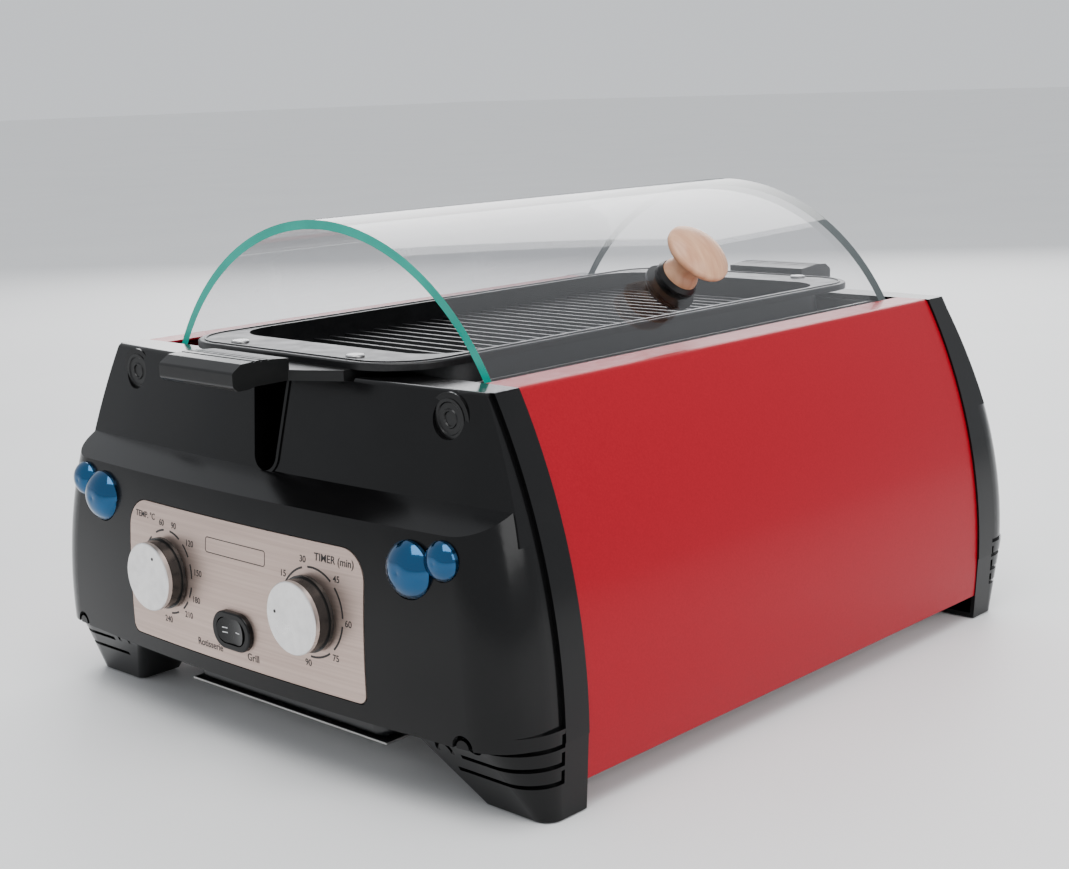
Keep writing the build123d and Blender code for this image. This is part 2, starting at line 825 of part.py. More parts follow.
def lid_track(start, end, stop):
    """Rear track from a stop angle's side to the opening; the lid's edge runs in its groove."""
    with BuildPart() as track:
        body = ring_sector(front_plane(track_end), track_inner - track_lip, track_outer + track_lip, start, end)
        extrude(body, amount=track_depth)
        low, high = (stop, end + 2.0) if stop < 90.0 else (start - 2.0, stop)
        groove = ring_sector(front_plane(track_end - track_floor), track_inner, track_outer, low, high)
        extrude(groove, amount=track_depth, mode=Mode.SUBTRACT)
    return track.part


closed_stop = lid_low_angle - track_play
open_stop = 180.0 - lid_low_angle + lid_travel + track_play
track_top = math.degrees(math.asin((liner_top_z - 3.0 - lid_axis_z) / (track_outer + track_lip)))
right_track = lid_track(closed_stop - track_tail, track_top, closed_stop)
left_track = lid_track(180.0 - track_top, open_stop + track_play + 0.5, open_stop)
save(right_track, "rear_right_lid_track")
save(left_track, "rear_left_lid_track")
save(rear(right_track), "front_right_lid_track")
save(rear(left_track), "front_left_lid_track")

knob_angle = math.radians(lid_knob_angle)
knob_outward = Vector(math.cos(knob_angle), 0, math.sin(knob_angle))
lid_axis_point = Vector(0, lid_knob_y, lid_axis_z)


def knob_plane(radius):
    """Plane through the lid knob's axis; local y leads outwards from a lid radius."""
    origin = lid_axis_point + knob_outward * radius
    return Plane(origin=origin, x_dir=(0, 1, 0), z_dir=Vector(0, 1, 0).cross(knob_outward))


knob_turning_axis = Axis(lid_axis_point, knob_outward)

with BuildPart() as glass_lid:
    pane = ring_sector(
        front_plane(glass_half_length),
        lid_inner_radius,
        lid_outer_radius,
        lid_low_angle,
        180.0 - lid_low_angle,
    )
    extrude(pane, amount=2 * glass_half_length)
    with BuildSketch(Plane(origin=lid_axis_point, z_dir=knob_outward)):
        Circle(lid_screw_radius + screw_clearance)
    extrude(amount=lid_outer_radius + 5.0, mode=Mode.SUBTRACT)
save(glass_lid.part, "glass_lid")

# The ferrule's underside and the nut's top are flat, and clear the curved glass by a seal's
# thickness that the ferrule and the nut take up with a shallow round seat.
with BuildPart() as lid_knob_ferrule:
    with BuildSketch(knob_plane(0.0)):
        with BuildLine():
            Polyline(
                (lid_screw_radius + screw_clearance, lid_outer_radius - 1.0),
                (ferrule_radius, lid_outer_radius - 1.0),
                (ferrule_radius, lid_outer_radius + 1.5),
                (ferrule_radius - 1.5, lid_outer_radius + ferrule_height),
                (lid_screw_radius + screw_clearance, lid_outer_radius + ferrule_height),
                close=True,
            )
        make_face()
    revolve(axis=knob_turning_axis)
    with BuildSketch(front_plane(glass_half_length)):
        with Locations((0, lid_axis_z)):
            Circle(lid_outer_radius)
    extrude(amount=2 * glass_half_length, mode=Mode.SUBTRACT)
save(lid_knob_ferrule.part, "lid_knob_ferrule")

with BuildPart() as lid_knob:
    foot_radius = lid_outer_radius + ferrule_height
    head = foot_radius + lid_knob_height - ferrule_height
    with BuildSketch(knob_plane(0.0)):
        with BuildLine():
            Polyline((0, head), (0, foot_radius), (lid_stem_radius + 2.0, foot_radius))
            Spline(
                (lid_stem_radius + 2.0, foot_radius),
                (lid_stem_radius, foot_radius + 6.0),
                (lid_stem_radius + 1.0, foot_radius + 11.0),
                (lid_knob_radius - 4.0, foot_radius + 14.5),
                tangents=((0, 1), (1, 0.25)),
            )
            Line((lid_knob_radius - 4.0, foot_radius + 14.5), (lid_knob_radius - 1.5, foot_radius + 16.0))
            ThreePointArc(
                (lid_knob_radius - 1.5, foot_radius + 16.0),
                (lid_knob_radius, foot_radius + 18.5),
                (lid_knob_radius - 1.5, foot_radius + 21.0),
            )
            Spline(
                (lid_knob_radius - 1.5, foot_radius + 21.0),
                (0, head),
                tangents=((-1, 0.9), (-1, 0)),
            )
        make_face()
    revolve(axis=knob_turning_axis)
    with BuildSketch(Plane(origin=lid_axis_point + knob_outward * foot_radius, z_dir=knob_outward)):
        Circle(lid_screw_radius)
    extrude(amount=lid_screw_length, mode=Mode.SUBTRACT)
save(lid_knob.part, "lid_knob")

with BuildPart() as lid_knob_screw:
    nut_top = lid_inner_radius - nut_seat
    with BuildSketch(Plane(origin=lid_axis_point + knob_outward * (nut_top - nut_height), z_dir=knob_outward)):
        Circle(lid_screw_radius)
    extrude(amount=nut_height + nut_seat + glass_thickness + ferrule_height + lid_screw_length)
    with BuildSketch(Plane(origin=lid_axis_point + knob_outward * (nut_top - nut_height), z_dir=knob_outward)):
        RegularPolygon(nut_radius / 2, 6)
    extrude(amount=-3.0)
save(lid_knob_screw.part, "lid_knob_screw")

with BuildPart() as lid_knob_washer:
    with BuildSketch(knob_plane(0.0)):
        with BuildLine():
            Polyline(
                (lid_screw_radius, lid_inner_radius + 1.0),
                (lid_screw_radius, lid_inner_radius - nut_seat - nut_height),
                (nut_radius - 2.5, lid_inner_radius - nut_seat - nut_height),
                (nut_radius, lid_inner_radius - nut_seat - 2.0),
                (nut_radius, lid_inner_radius + 1.0),
                close=True,
            )
        make_face()
    revolve(axis=knob_turning_axis)
    with BuildSketch(front_plane(glass_half_length)):
        with Locations((0, lid_axis_z)):
            Circle(2 * lid_outer_radius)
            Circle(lid_inner_radius, mode=Mode.SUBTRACT)
    extrude(amount=2 * glass_half_length, mode=Mode.SUBTRACT)
save(lid_knob_washer.part, "lid_knob_washer")


# ----------------------------------------------------------- grill plate and its handles

rim_underside = grill_rim_z - grill_rim_thickness
notch_floor = panel_top_z - notch_depth
basin_half_width = grill_half_width - grill_rim_width
basin_half_length = grill_half_length - grill_end_width
basin_corner = grill_corner_radius - grill_rim_width
rivet_places = [
    (side * rivet_spacing / 2, end * rivet_reach) for side in (-1, 1) for end in (-1, 1)
]


def rounded_plan(z, half_x, half_y, radius):
    """Rounded rectangle at one height, centred on the oven."""
    with BuildSketch(Plane.XY.offset(z)) as plan:
        RectangleRounded(2 * half_x, 2 * half_y, radius)
    return plan.sketch


with BuildPart() as grill_plate:
    rim = rounded_plan(rim_underside, grill_half_width, grill_half_length, grill_corner_radius)
    extrude(rim, amount=grill_rim_thickness)
    fillet(grill_plate.faces().sort_by(Axis.Z)[-1].edges(), radius=grill_edge_radius)
    basin_outside = rounded_plan(
        rim_underside,
        basin_half_width + grill_floor - 0.5,
        basin_half_length + grill_floor - 0.5,
        basin_corner + grill_floor,
    )
    extrude(basin_outside, amount=-(grill_depth + grill_floor - grill_rim_thickness), taper=-grill_wall_slope)
    basin = rounded_plan(grill_rim_z, basin_half_width, basin_half_length, basin_corner)
    extrude(basin, amount=-grill_depth, taper=-grill_wall_slope, mode=Mode.SUBTRACT)
    bead_in = grill_bead_inset + grill_bead
    with BuildSketch(Plane.XY.offset(grill_rim_z)) as bead:
        for inset, mode in ((grill_bead_inset, Mode.ADD), (bead_in, Mode.SUBTRACT)):
            long_side = 2 * (grill_half_length - inset)
            RectangleRounded(2 * (grill_half_width - inset), long_side, grill_corner_radius - inset, mode=mode)
    extrude(bead.sketch, amount=grill_bead / 2)
    floor_z = grill_rim_z - grill_depth
    rib_count = 1 + 2 * int((basin_half_length - 1.5 * rib_pitch) / rib_pitch)
    rib_half = basin_half_width - grill_depth * math.tan(math.radians(grill_wall_slope)) - rib_end_gap
    with BuildSketch(Plane.XY.offset(floor_z)) as ribs:
        with GridLocations(0, rib_pitch, 1, rib_count):
            SlotOverall(2 * rib_half, rib_width)
    extrude(ribs.sketch, amount=rib_height, taper=rib_draft)
    with BuildSketch(Plane.XY.offset(rim_underside)) as rivet_holes:
        with Locations(rivet_places):
            Circle(rivet_radius + rivet_clearance)
    extrude(rivet_holes.sketch, amount=2 * grill_rim_thickness, mode=Mode.SUBTRACT)
save(grill_plate.part, "grill_plate")

with BuildPart() as front_grill_handle:
    neck_back = -(basin_half_length + grill_floor + 3.0)
    neck_front = -(handle_reach - handle_length)
    with BuildSketch(Plane.XY.offset(notch_floor)) as neck:
        with BuildLine():
            Polyline(
                (neck_half_width, neck_back),
                (neck_half_width, neck_front + neck_taper),
                (handle_half_width, neck_front - 1.0),
                (-handle_half_width, neck_front - 1.0),
                (-neck_half_width, neck_front + neck_taper),
                (-neck_half_width, neck_back),
                close=True,
            )
        make_face()
    extrude(neck.sketch, amount=rim_underside - notch_floor)
    tip, under = -handle_reach, handle_top_z - handle_height
    with BuildSketch(Plane.YZ.offset(-handle_half_width)) as grip:
        with BuildLine():
            Polyline(
                (neck_front, notch_floor),
                (neck_front, handle_top_z - 1.5),
                (tip + 18.0, handle_top_z),
                (tip + 6.0, handle_top_z - 0.6),
                (tip, handle_top_z - 4.5),
                (tip, under + 2.5),
                (tip + 3.0, under),
                (tip + 9.0, under),
                (tip + 14.0, under + 1.0),
                close=True,
            )
        make_face()
        fillet(grip.vertices().filter_by(lambda v: v.X < neck_front - 10.0), radius=handle_edge_radius)
        with Locations([(neck_front - 4.0 - step * grip_pitch, handle_top_z) for step in range(grip_grooves)]):
            Circle(grip_groove_radius, mode=Mode.SUBTRACT)
    extrude(grip.sketch, amount=2 * handle_half_width)
    with BuildSketch(Plane.XY.offset(notch_floor)) as rivet_bores:
        with Locations([place for place in rivet_places if place[1] < 0]):
            Circle(rivet_radius + rivet_clearance)
    extrude(rivet_bores.sketch, amount=2 * grill_rim_thickness, mode=Mode.SUBTRACT)
save(front_grill_handle.part, "front_grill_handle")
save(rear(front_grill_handle.part), "rear_grill_handle")

with BuildPart() as handle_rivets:
    with BuildSketch(Plane.XY.offset(notch_floor + 0.5)):
        with Locations(rivet_places):
            Circle(rivet_radius)
    extrude(amount=grill_rim_z - notch_floor - 0.5)
    with BuildSketch(Plane.XY.offset(grill_rim_z)):
        with Locations(rivet_places):
            Circle(rivet_head_radius)
    extrude(amount=rivet_head_height)
    fillet(handle_rivets.faces().group_by(Axis.Z)[-1].edges(), radius=rivet_head_height * 0.6)
save(handle_rivets.part, "handle_rivets")

# ----------------------------------------------------------------------- control panel


def turned(x, z, profile):
    """Solid turned about the line parallel to Y through (x, z), from (radius, y) points."""
    with BuildPart() as solid:
        with BuildSketch(Plane.XY.offset(z)):
            with BuildLine():
                Polyline([(x + radius, y) for radius, y in profile], close=True)
            make_face()
        revolve(axis=Axis((x, 0, z), (0, 1, 0)))
    return solid.part


def peg(x, z, radius, start, end, bore=0.0):
    """Round rod or tube along Y."""
    return turned(x, z, [(bore, start), (radius, start), (radius, end), (bore, end)])


with BuildPart() as control_plate:
    with BuildSketch(front_plane(front_seam - cap_rim_length)):
        plate_outline(0.0)
    extrude(amount=lower_face_middle_depth)
    fillet(control_plate.edges().filter_by(Axis.Y).group_by(Axis.Z)[-1], radius=plate_top_corner)
    fillet(control_plate.edges().filter_by(Axis.Y).group_by(Axis.Z)[0], radius=plate_bottom_corner)
    add(plate_skin, mode=Mode.INTERSECT)
    add(plate_recess_floor, mode=Mode.SUBTRACT)
    cut_round(panel_front, 20.0, knob_places, bush_radius + screw_clearance)
    with BuildSketch(front_plane(panel_front)):
        with Locations((switch_x, switch_z)):
            SlotOverall(switch_length - 2 * switch_flange, switch_height - 2 * switch_flange)
    extrude(amount=-20.0, mode=Mode.SUBTRACT)
save(control_plate.part, "control_plate")

nearest_face = min(
    face_y(knob_z + rise, knob_spacing / 2 - knob_collar_radius)
    for rise in (-knob_collar_radius, 0.0, knob_collar_radius)
)
knob_back = nearest_face - plate_proud - knob_standoff
knob_front = knob_back - knob_length
control_front = nearest_face + 7.0
bush_front = knob_back + 0.2
hub_radius = control_shaft_radius + 2.5
disc_seat = knob_front + knob_face_thickness
for control, sleeve, side in (("temperature", "thermostat", -1), ("timer", "timer", 1)):
    x = side * knob_spacing / 2
    shaft_front = disc_seat + 1.5
    with BuildPart() as knob:
        add(peg(x, knob_z, knob_collar_radius, knob_back - knob_collar_length, knob_back))
        add(peg(x, knob_z, knob_radius, disc_seat, knob_back - knob_collar_length))
        hollow = [
            (hub_radius, knob_back),
            (knob_radius - knob_wall, knob_back),
            (knob_radius - knob_wall, disc_seat + knob_wall),
            (hub_radius, disc_seat + knob_wall),
        ]
        add(turned(x, knob_z, hollow), mode=Mode.SUBTRACT)
        add(peg(x, knob_z, hub_radius + 0.1, knob_back - 1.5, knob_back), mode=Mode.SUBTRACT)
        add(peg(x, knob_z, control_shaft_radius, shaft_front, knob_back), mode=Mode.SUBTRACT)
    save(knob.part, f"{control}_knob")
    disc = [
        (0.0, disc_seat),
        (knob_radius, disc_seat),
        (knob_radius, knob_front + knob_face_edge),
        (knob_radius - knob_face_edge, knob_front),
        (0.0, knob_front),
    ]
    save(turned(x, knob_z, disc), f"{control}_knob_face")
    save(peg(x, knob_z, control_shaft_radius, shaft_front, control_front + 12.0), f"{control}_shaft")
    with BuildPart() as housing:
        add(peg(x, knob_z, bush_radius + 4.0, nearest_face, control_front))
        add(lower_inside, mode=Mode.INTERSECT)
        add(peg(x, knob_z, bush_radius, bush_front, control_front))
        half = control_body_size / 2
        low = (x - half, control_front, knob_z - half)
        box_between(low, (x + half, control_front + control_body_depth, knob_z + half))
        bore_end = control_front + 12.0 + 0.5
        bore = peg(x, knob_z, control_shaft_radius + shaft_clearance, bush_front - 1.0, bore_end)
        add(bore, mode=Mode.SUBTRACT)
    save(housing.part, f"{sleeve}_body")

switch_face = face_y(switch_z, switch_x) - plate_proud
pivot_y = switch_face - switch_proud + pivot_setback
with BuildPart() as switch_bezel:
    with BuildSketch(front_plane(switch_face - switch_proud)):
        with Locations((switch_x, switch_z)):
            SlotOverall(switch_length, switch_height)
    extrude(amount=-switch_proud - 2.0)
    fillet(switch_bezel.faces().sort_by(Axis.Y)[0].edges(), radius=1.0)
    add(plate_skin, mode=Mode.SUBTRACT)
    sleeve_play = switch_flange + 0.1
    with BuildSketch(front_plane(switch_face - 1.0)) as sleeve_section:
        with Locations((switch_x, switch_z)):
            SlotOverall(switch_length - 2 * sleeve_play, switch_height - 2 * sleeve_play)
    extrude(sleeve_section.sketch, amount=-switch_depth)
    with BuildSketch(front_plane(switch_face - switch_proud)) as opening:
        with Locations((switch_x, switch_z)):
            SlotOverall(paddle_length + 0.6, paddle_height + 0.6)
    extrude(opening.sketch, amount=-switch_depth, mode=Mode.SUBTRACT)
    with Locations((switch_x, pivot_y, switch_z)):
        Cylinder(pivot_radius + shaft_clearance, paddle_height + 2 * pivot_reach + 0.2, mode=Mode.SUBTRACT)
save(switch_bezel.part, "switch_bezel")

with BuildPart() as switch_rocker:
    crest = pivot_y - pivot_setback - paddle_rise
    tip = paddle_length / 2 - 0.8
    with BuildSketch(Plane.XY.offset(switch_z - paddle_height / 2)):
        with BuildLine():
            rocker_left = (switch_x - tip, crest)
            rocker_right = (switch_x + tip, crest)
            ThreePointArc(rocker_left, (switch_x, crest + paddle_dish), rocker_right)
            Polyline(
                rocker_right,
                (switch_x + tip, pivot_y + 3.0),
                (switch_x, pivot_y + 6.5),
                (switch_x - tip, pivot_y + 3.0),
                rocker_left,
            )
        make_face()
    extrude(amount=paddle_height)
    with BuildSketch(front_plane(crest - 1.0)):
        with Locations((switch_x, switch_z)):
            SlotOverall(2 * tip, paddle_height)
    extrude(amount=-switch_depth, mode=Mode.INTERSECT)
    with Locations((switch_x, pivot_y, switch_z)):
        Cylinder(pivot_radius, paddle_height + 2 * pivot_reach)
save(switch_rocker.part, "switch_rocker")


def dome(x, z, radius, rise):
    """Domed lens with its light pipe, seated in the front cap's lower face."""
    seat = face_y(z, x) + lens_sink
    shoulder = face_y(z, x) - 0.8
    crown = face_y(z, x) - rise
    with BuildPart() as lens:
        with BuildSketch(Plane.XY.offset(z)):
            with BuildLine():
                lie = math.sqrt(0.5)
                mid = (x + radius * lie, shoulder + (crown - shoulder) * lie)
                ThreePointArc((x, crown), mid, (x + radius, shoulder))
                Polyline(
                    (x + radius, shoulder),
                    (x + radius, seat),
                    (x + lens_tube_radius, seat),
                    (x + lens_tube_radius, seat + lens_tube_length),
                    (x, seat + lens_tube_length),
                    (x, crown),
                )
            make_face()
        revolve(axis=Axis((x, 0, z), (0, 1, 0)))
    return lens.part


large_lens = dome(large_lens_x, large_lens_z, large_lens_radius, large_lens_rise)
with BuildPart() as small_lens:
    add(dome(small_lens_x, small_lens_z, small_lens_radius, small_lens_rise))
    lens_face = face_y(large_lens_z, large_lens_x)
    trim = peg(large_lens_x, large_lens_z, large_lens_radius + lens_trim, lens_face - 20.0, lens_face + 5.0)
    add(trim, mode=Mode.SUBTRACT)
for name, lens in (("large", large_lens), ("small", small_lens.part)):
    save(lens, f"right_{name}_lens")
    save(mirrored(lens), f"left_{name}_lens")

# ------------------------------------------------------- screws, plugs, feet and gland

plug_seat = upper_face_y(plug_z, plug_x) + plug_sink + plug_thickness
plug_profile = [
    (0.0, plug_seat),
    (plug_radius, plug_seat),
    (plug_radius, plug_seat - plug_thickness),
    (plug_radius - 1.6, plug_seat - plug_thickness),
    (plug_radius - 2.2, plug_seat - plug_thickness + 0.6),
    (plug_radius / 2, plug_seat - plug_thickness + 0.6),
    (plug_radius / 2 - 0.4, plug_seat - plug_thickness + 0.1),
    (plug_radius / 2 - 1.2, plug_seat - plug_thickness + 0.1),
    (plug_radius / 2 - 1.6, plug_seat - plug_thickness + 0.8),
    (0.0, plug_seat - plug_thickness + 0.8),
]
head_seat = front_seam - screw_head_depth
with BuildPart() as front_screw_plugs:
    for side in (-1, 1):
        add(turned(side * plug_x, plug_z, plug_profile))
with BuildPart() as front_cap_screws:
    for side in (-1, 1):
        add(peg(side * plug_x, plug_z, screw_head_radius, head_seat - screw_head_height, head_seat))
        add(peg(side * plug_x, plug_z, screw_radius, head_seat, front_bulkhead + sheet_steel))
for name, pieces in (("screw_plugs", front_screw_plugs.part), ("cap_screws", front_cap_screws.part)):
    save(pieces, f"front_{name}")
    save(rear(pieces), f"rear_{name}")

with BuildPart() as rubber_feet:
    with BuildSketch(Plane.XY):
        with GridLocations(2 * pad_x, 2 * (rear_seam + pad_depth), 2, 2):
            Circle(pad_radius)
    extrude(amount=pad_thickness)
    fillet(rubber_feet.faces().group_by(Axis.Z)[0].edges(), radius=0.4)
save(rubber_feet.part, "rubber_feet")

with BuildPart() as cord_gland:
    skin = face_y(gland_z, gland_x)
    add(peg(gland_x, gland_z, gland_radius + 3.0, skin - gland_flange, skin + 2.0))
    add(lower_outer, mode=Mode.SUBTRACT)
    add(peg(gland_x, gland_z, gland_radius, skin - gland_flange, skin + 12.0))
    add(peg(gland_x, gland_z, gland_bore, skin - 2 * gland_flange, skin + 13.0), mode=Mode.SUBTRACT)
save(rear(cord_gland.part), "cord_gland")

with BuildPart() as terminal_block:
    outer_face = -front_bulkhead
    low = (-terminal_x - terminal_length / 2, outer_face, terminal_z - terminal_height / 2)
    high = (-terminal_x + terminal_length / 2, outer_face + terminal_depth, terminal_z + terminal_height / 2)
    box_between(low, high)
    with BuildSketch(front_plane(outer_face + terminal_depth)) as ways:
        with Locations((-terminal_x, terminal_z)):
            with GridLocations(terminal_length / 3, terminal_height / 2, 3, 2):
                Circle(2.0)
    extrude(ways.sketch, amount=terminal_depth / 2, mode=Mode.SUBTRACT)
save(terminal_block.part, "terminal_block")

# --------------------------------------------------------------------------- spit drive


def spur_gear(teeth, z, first_tooth):
    """Involute gear about a line parallel to Y in the middle of the oven."""
    pitch = gear_module * teeth / 2
    pressure = math.radians(20.0)
    base = pitch * math.cos(pressure)
    half_tooth = (math.pi * gear_module / 2 - gear_backlash) / (2 * pitch)

    def flank(radius):
        """Half of the tooth's angle at a radius."""
        angle = math.acos(min(1.0, base / radius))
        return half_tooth + math.tan(pressure) - pressure - math.tan(angle) + angle

    radii = [pitch - 1.25 * gear_module, pitch - 0.3 * gear_module, pitch + gear_module]
    outline = []
    for tooth in range(teeth):
        centre = math.radians(first_tooth) + tooth * 2 * math.pi / teeth
        sides = [(r, -flank(r)) for r in radii] + [(r, flank(r)) for r in reversed(radii)]
        for r, turn in sides:
            outline.append((r * math.cos(centre + turn), z + r * math.sin(centre + turn)))
    with BuildPart() as gear:
        with BuildSketch(front_plane(gear_start + gear_width)):
            with BuildLine():
                Polyline(outline, close=True)
            make_face()
        extrude(amount=gear_width)
    return gear.part


gear_start = -front_bulkhead + gear_gap
socket_end = gear_start + gear_width + 2.0
socket_start = -front_bulkhead - socket_reach
with BuildPart() as drive_gear:
    add(spur_gear(drive_teeth, spit_axis_z, -90.0))
    with BuildSketch(front_plane(gear_start + gear_width)) as lightening:
        with Locations((0, spit_axis_z)):
            with PolarLocations(gear_module * drive_teeth / 3.2, 6):
                Circle(gear_module * 4.5)
    extrude(lightening.sketch, amount=gear_width, mode=Mode.SUBTRACT)
    cut_round(gear_start - 1.0, gear_width + 2.0, [(0, spit_axis_z)], socket_radius)
save(drive_gear.part, "drive_gear")

with BuildPart() as drive_socket:
    add(peg(0, spit_axis_z, socket_radius, socket_start, socket_end))
    with BuildSketch(front_plane(socket_start)) as square:
        with Locations((0, spit_axis_z)):
            Rectangle(socket_square, socket_square)
    extrude(square.sketch, amount=-(socket_reach + 4.0), mode=Mode.SUBTRACT)
save(drive_socket.part, "drive_socket")

inner_face = -front_bulkhead - sheet_steel
bearing_profile = [
    (socket_radius + shaft_clearance, inner_face - bearing_flange),
    (bearing_radius + 3.0, inner_face - bearing_flange),
    (bearing_radius + 3.0, inner_face),
    (bearing_radius, inner_face),
    (bearing_radius, inner_face + 4.0),
    (socket_radius + shaft_clearance, inner_face + 4.0),
]
save(turned(0, spit_axis_z, bearing_profile), "spit_bearing")

motor_front = -front_bulkhead + bracket_depth
with BuildPart() as spit_motor:
    add(peg(0, motor_axis_z, motor_radius, motor_front, motor_front + motor_length))
    fillet(spit_motor.edges().filter_by(GeomType.CIRCLE).group_by(Axis.Y)[-1], radius=2.0)
    add(peg(0, motor_axis_z, motor_boss_radius, motor_front - sheet_steel * 2, motor_front))
    motor_bore = motor_shaft_radius + shaft_clearance
    cut_round(motor_front - 3.0, 10.0, [(0, motor_axis_z)], motor_bore)
save(spit_motor.part, "spit_motor")

with BuildPart() as motor_pinion:
    gap_tooth = 90.0 + 180.0 / pinion_teeth
    add(spur_gear(pinion_teeth, motor_axis_z, gap_tooth))
    add(peg(0, motor_axis_z, motor_shaft_radius + 2.0, gear_start + gear_width, motor_front - 3.0))
    add(peg(0, motor_axis_z, motor_shaft_radius, motor_front - 3.0, motor_front + 6.0))
save(motor_pinion.part, "motor_pinion")

with BuildPart() as motor_bracket:
    bridge = motor_front - 2 * sheet_steel
    span, leg = bracket_half_span, 2 * sheet_steel
    low_z, high_z = motor_axis_z - bracket_half_height, motor_axis_z + bracket_half_height
    box_between((-span, bridge, low_z), (span, motor_front, high_z))
    for side in (-1, 1):
        inner, outer = sorted((side * (span - leg), side * span))
        box_between((inner, -front_bulkhead, low_z), (outer, motor_front, high_z))
        inner, outer = sorted((side * span, side * (span + bracket_foot)))
        box_between((inner, -front_bulkhead, low_z), (outer, -front_bulkhead + leg, high_z))
    cut_round(bridge - 1.0, 4.0, [(0, motor_axis_z)], motor_boss_radius)
save(motor_bracket.part, "motor_bracket")
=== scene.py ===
import json
import math

import bmesh
import bpy
from mathutils import Matrix, Vector


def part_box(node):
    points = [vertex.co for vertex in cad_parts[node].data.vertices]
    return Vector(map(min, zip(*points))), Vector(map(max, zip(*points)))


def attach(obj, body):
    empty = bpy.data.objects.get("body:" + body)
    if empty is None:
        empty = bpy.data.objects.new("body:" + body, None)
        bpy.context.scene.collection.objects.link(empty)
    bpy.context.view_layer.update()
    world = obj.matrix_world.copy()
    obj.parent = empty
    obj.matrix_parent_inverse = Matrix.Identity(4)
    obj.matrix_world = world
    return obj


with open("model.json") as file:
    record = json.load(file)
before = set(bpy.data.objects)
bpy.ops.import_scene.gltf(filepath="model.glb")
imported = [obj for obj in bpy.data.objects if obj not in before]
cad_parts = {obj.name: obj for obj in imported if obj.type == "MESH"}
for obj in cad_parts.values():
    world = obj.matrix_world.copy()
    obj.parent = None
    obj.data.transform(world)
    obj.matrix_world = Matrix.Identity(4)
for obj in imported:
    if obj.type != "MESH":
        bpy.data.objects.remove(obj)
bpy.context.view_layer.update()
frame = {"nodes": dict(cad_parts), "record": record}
nodes = frame["nodes"]
MM = 0.001

# ------------------------------------------------------------------------- materials

NOISE_LOW, NOISE_HIGH = 0.3, 0.7  # a noise texture keeps mostly between these
RELIEF_DEPTH = 0.1 * MM
ROUGHNESS_COARSENESS = 6.0  # roughness varies over patches this much larger than the grain
END_BAND = 0.05 * MM  # depth of the lid's two cut ends, which are coloured on their own: a painted green glow at the front, painted dark shade at the rear


class Shader:
    """A node material built round one principled shader, with its texture coordinates."""

    def __init__(self, name):
        self.material = bpy.data.materials.new(name)
        self.material.use_nodes = True
        self.tree = self.material.node_tree
        self.shader = self.tree.nodes["Principled BSDF"]
        self.output = self.tree.nodes["Material Output"]
        self.place = self.tree.nodes.new("ShaderNodeTexCoord").outputs["Object"]

    def node(self, kind, values=(), **settings):
        made = self.tree.nodes.new(kind)
        for key, value in settings.items():
            setattr(made, key, value)
        for key, value in dict(values).items():
            made.inputs[key].default_value = value
        return made

    def link(self, source, target):
        self.tree.links.new(source, target)

    def noise(self, scale, stretch=(1.0, 1.0, 1.0), detail=4.0):
        mapping = self.node("ShaderNodeMapping", {"Scale": stretch})
        self.link(self.place, mapping.inputs["Vector"])
        texture = self.node("ShaderNodeTexNoise", {"Scale": scale, "Detail": detail})
        self.link(mapping.outputs["Vector"], texture.inputs["Vector"])
        return texture.outputs["Fac"]

    def spread(self, source, low, high):
        limits = {"From Min": NOISE_LOW, "From Max": NOISE_HIGH, "To Min": low, "To Max": high}
        ramp = self.node("ShaderNodeMapRange", limits)
        self.link(source, ramp.inputs["Value"])
        return ramp.outputs["Result"]

    def tint(self, source, dark, light, target="Base Color"):
        ramp = self.node("ShaderNodeValToRGB")
        ramp.color_ramp.elements[0].position = NOISE_LOW
        ramp.color_ramp.elements[1].position = NOISE_HIGH
        ramp.color_ramp.elements[0].color = (*dark, 1.0)
        ramp.color_ramp.elements[1].color = (*light, 1.0)
        self.link(source, ramp.inputs["Fac"])
        self.link(ramp.outputs["Color"], self.shader.inputs[target])

    def bump(self, source, strength):
        bump = self.node("ShaderNodeBump", {"Strength": strength, "Distance": RELIEF_DEPTH})
        self.link(source, bump.inputs["Height"])
        self.link(bump.outputs["Normal"], self.shader.inputs["Normal"])

    def set(self, **values):
        for key, value in values.items():
            self.shader.inputs[key.replace("_", " ")].default_value = value


def surface(
    name, dark, light, rough, metal=0.0, grain=60.0, relief=0.05, stretch=(1.0, 1.0, 1.0), **values
):
    """Uneven surface: colour and roughness vary with a fine noise, with a slight relief."""
    made = Shader(name)
    fine = made.noise(grain, stretch)
    made.tint(fine, dark, light)
    patches = made.noise(grain / ROUGHNESS_COARSENESS)
    made.link(made.spread(patches, *rough), made.shader.inputs["Roughness"])
    made.bump(fine, relief)
    made.set(Metallic=metal, **values)
    return made


def brushed_round(name, dark, light, rough, centre_x, centre_z):
    """Metal turned on a lathe: its sheen fans out from a centre."""
    made = surface(name, dark, light, rough, metal=1.0, grain=200.0, relief=0.02)
    where = made.node("ShaderNodeNewGeometry").outputs["Position"]
    centre = (centre_x, 0.0, centre_z)
    away = made.node("ShaderNodeVectorMath", {1: centre}, operation="SUBTRACT")
    made.link(where, away.inputs[0])
    round_axis = made.node("ShaderNodeVectorMath", {1: (0.0, 1.0, 0.0)}, operation="CROSS_PRODUCT")
    made.link(away.outputs[0], round_axis.inputs[0])
    unit = made.node("ShaderNodeVectorMath", operation="NORMALIZE")
    made.link(round_axis.outputs[0], unit.inputs[0])
    made.link(unit.outputs[0], made.shader.inputs["Tangent"])
    made.set(Anisotropic=0.6)
    return made


